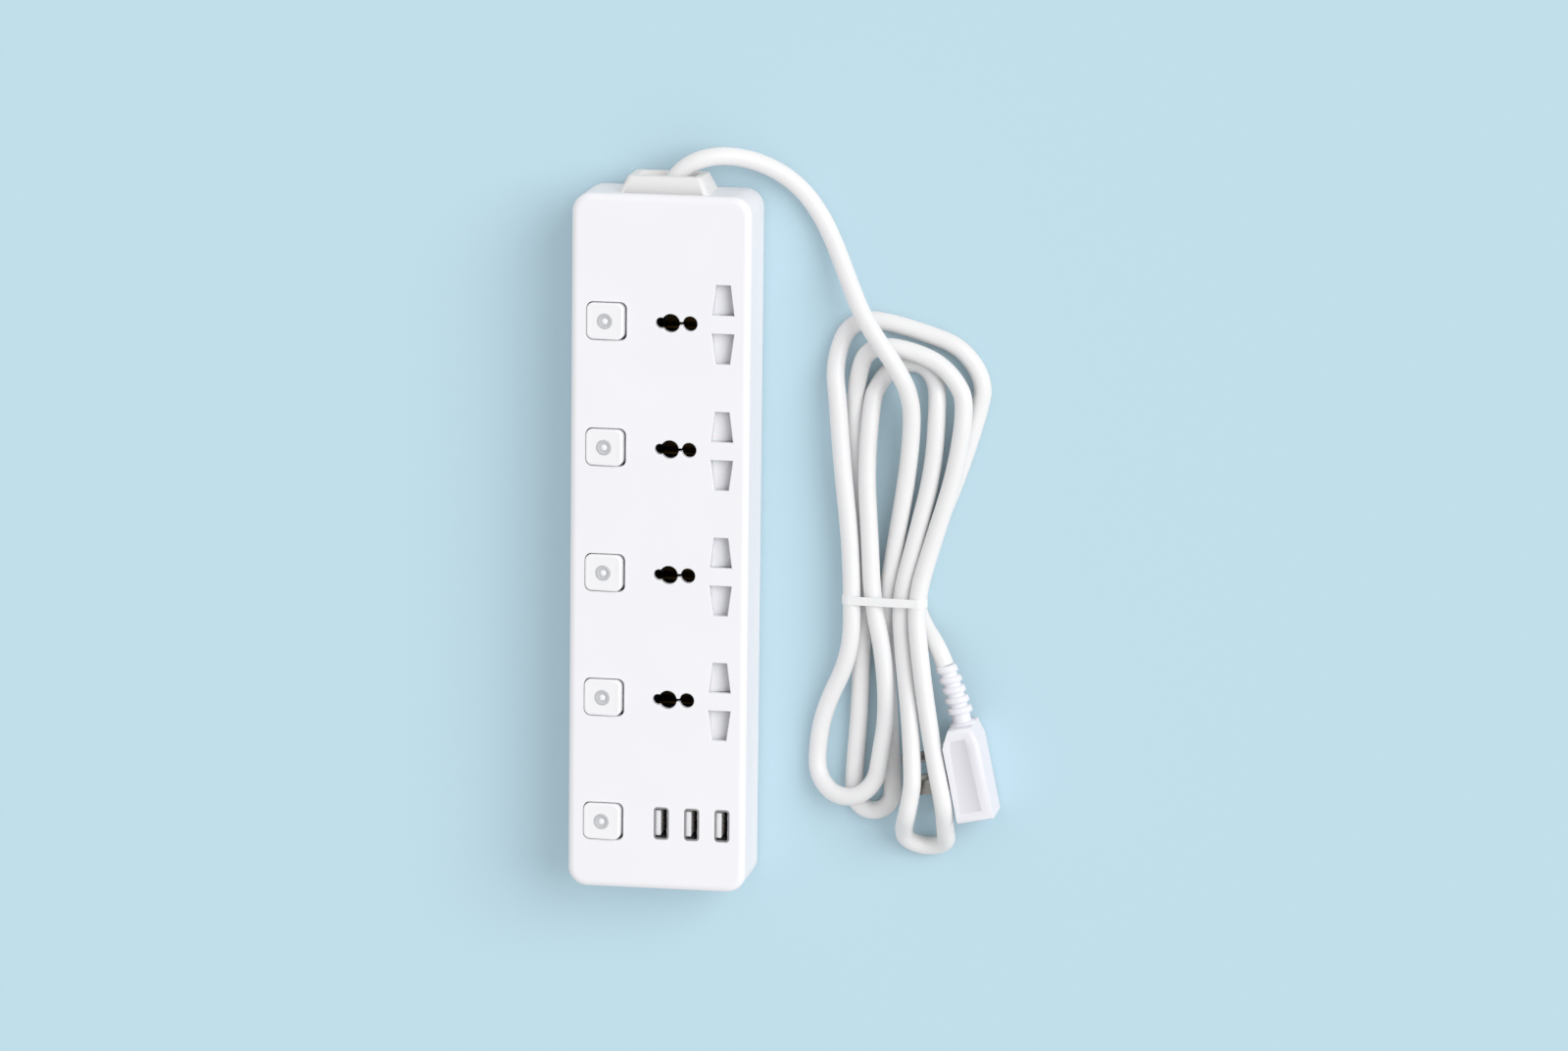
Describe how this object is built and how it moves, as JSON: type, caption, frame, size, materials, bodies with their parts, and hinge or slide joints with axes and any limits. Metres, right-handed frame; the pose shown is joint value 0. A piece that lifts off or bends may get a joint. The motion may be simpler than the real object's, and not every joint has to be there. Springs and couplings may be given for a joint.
{
  "type": "extension cord",
  "caption": "Long flat socket strip with rocker switches, universal sockets and charging ports, on a supply cord folded in a tied hank with a moulded plug.",
  "frame": {"origin": "bottom centre of the strip, on the surface that its feet stand on", "axes": "+Y towards the end that the cord leaves, +X towards the pin slots' side, +Z out of the socket face"},
  "size_m": [0.1801, 0.3143, 0.0379],
  "materials": {
    "case_white": "smooth satin-gloss moulding",
    "rocker_white": "smooth moulding",
    "lens_clear": "frosted indicator lens",
    "collar_plastic": "matt moulding",
    "carrier_plastic": "matt black moulding",
    "switch_plastic": "matt moulding",
    "shutter_white": "smooth moulding",
    "screw_steel": "zinc plated",
    "spring_steel": "drawn wire",
    "port_steel": "bright nickel plate",
    "port_tongue": "moulded insulator",
    "board_green": "solder mask",
    "coil_dark": "taped coil and core",
    "can_aluminium": "drawn can",
    "brass": "punched strip, dull with age",
    "foot_rubber": "matt rubber",
    "cord_white": "soft vinyl sheath",
    "core_brown": "core insulation",
    "core_blue": "core insulation",
    "core_green": "core insulation, green with yellow stripe",
    "plug_white": "soft moulded vinyl",
    "plug_bridge": "hard moulded insert",
    "pin_plated": "nickel plated",
    "tie_white": "thin vinyl band"
  },
  "bodies": {
    "housing": {"top_cover": "case_white", "back_cover": "case_white", "case_screws": "screw_steel", "rubber_feet": "foot_rubber", "cord_collar": "collar_plastic", "cord_clamp": "carrier_plastic", "clamp_screws": "screw_steel", "switch_case_1": "switch_plastic", "switch_case_2": "switch_plastic", "switch_case_3": "switch_plastic", "switch_case_4": "switch_plastic", "switch_case_5": "switch_plastic", "switch_terminals": "brass", "neutral_rail": "brass", "earth_rail": "brass", "live_rail": "brass", "live_contacts": "brass", "socket_carrier_1": "carrier_plastic", "shutter_spring_1": "spring_steel", "socket_carrier_2": "carrier_plastic", "shutter_spring_2": "spring_steel", "socket_carrier_3": "carrier_plastic", "shutter_spring_3": "spring_steel", "socket_carrier_4": "carrier_plastic", "shutter_spring_4": "spring_steel", "port_shells": "port_steel", "port_tongues": "port_tongue", "charger_board": "board_green", "charger_transformer": "coil_dark", "charger_capacitors": "can_aluminium", "cord_inner_end": "cord_white", "live_core": "core_brown", "neutral_core": "core_blue", "earth_core": "core_green", "charger_wires": "core_brown", "plug_body": "plug_white", "plug_bridge": "plug_bridge", "plug_blades": "pin_plated", "plug_earth_pin": "pin_plated", "plug_relief": "plug_white", "cord_tie": "tie_white", "supply_cord": "cord_white", "cord_hank": "cord_white", "cord_tail": "cord_white"},
    "switch_1": {"rocker_1": "rocker_white", "indicator_lens_1": "lens_clear"},
    "switch_2": {"rocker_2": "rocker_white", "indicator_lens_2": "lens_clear"},
    "switch_3": {"rocker_3": "rocker_white", "indicator_lens_3": "lens_clear"},
    "switch_4": {"rocker_4": "rocker_white", "indicator_lens_4": "lens_clear"},
    "switch_5": {"rocker_5": "rocker_white", "indicator_lens_5": "lens_clear"},
    "shutter_slide_1": {"shutter_1": "shutter_white"},
    "shutter_slide_2": {"shutter_2": "shutter_white"},
    "shutter_slide_3": {"shutter_3": "shutter_white"},
    "shutter_slide_4": {"shutter_4": "shutter_white"}
  },
  "joints": [
    {"name": "switch_1_tilt", "type": "hinge", "parent": "housing", "child": "switch_1", "pos_m": [-0.0228, 0.0945, 0.0305], "axis": [0, 1, 0], "range_deg": [0, 10]},
    {"name": "switch_2_tilt", "type": "hinge", "parent": "housing", "child": "switch_2", "pos_m": [-0.0228, 0.04105, 0.0305], "axis": [0, 1, 0], "range_deg": [0, 10]},
    {"name": "switch_3_tilt", "type": "hinge", "parent": "housing", "child": "switch_3", "pos_m": [-0.0228, -0.0124, 0.0305], "axis": [0, 1, 0], "range_deg": [0, 10]},
    {"name": "switch_4_tilt", "type": "hinge", "parent": "housing", "child": "switch_4", "pos_m": [-0.0228, -0.06585, 0.0305], "axis": [0, 1, 0], "range_deg": [0, 10]},
    {"name": "switch_5_tilt", "type": "hinge", "parent": "housing", "child": "switch_5", "pos_m": [-0.0228, -0.1193, 0.0305], "axis": [0, 1, 0], "range_deg": [0, 10]},
    {"name": "shutter_1_slide", "type": "slide", "parent": "housing", "child": "shutter_slide_1", "axis": [-1, 0, 0], "range_m": [0, 0.0116], "stiffness_N_per_m": 60, "springref_m": -0.004, "deforming": ["shutter_spring_1"]},
    {"name": "shutter_2_slide", "type": "slide", "parent": "housing", "child": "shutter_slide_2", "axis": [-1, 0, 0], "range_m": [0, 0.0116], "stiffness_N_per_m": 60, "springref_m": -0.004, "deforming": ["shutter_spring_2"]},
    {"name": "shutter_3_slide", "type": "slide", "parent": "housing", "child": "shutter_slide_3", "axis": [-1, 0, 0], "range_m": [0, 0.0116], "stiffness_N_per_m": 60, "springref_m": -0.004, "deforming": ["shutter_spring_3"]},
    {"name": "shutter_4_slide", "type": "slide", "parent": "housing", "child": "shutter_slide_4", "axis": [-1, 0, 0], "range_m": [0, 0.0116], "stiffness_N_per_m": 60, "springref_m": -0.004, "deforming": ["shutter_spring_4"]}
  ]
}
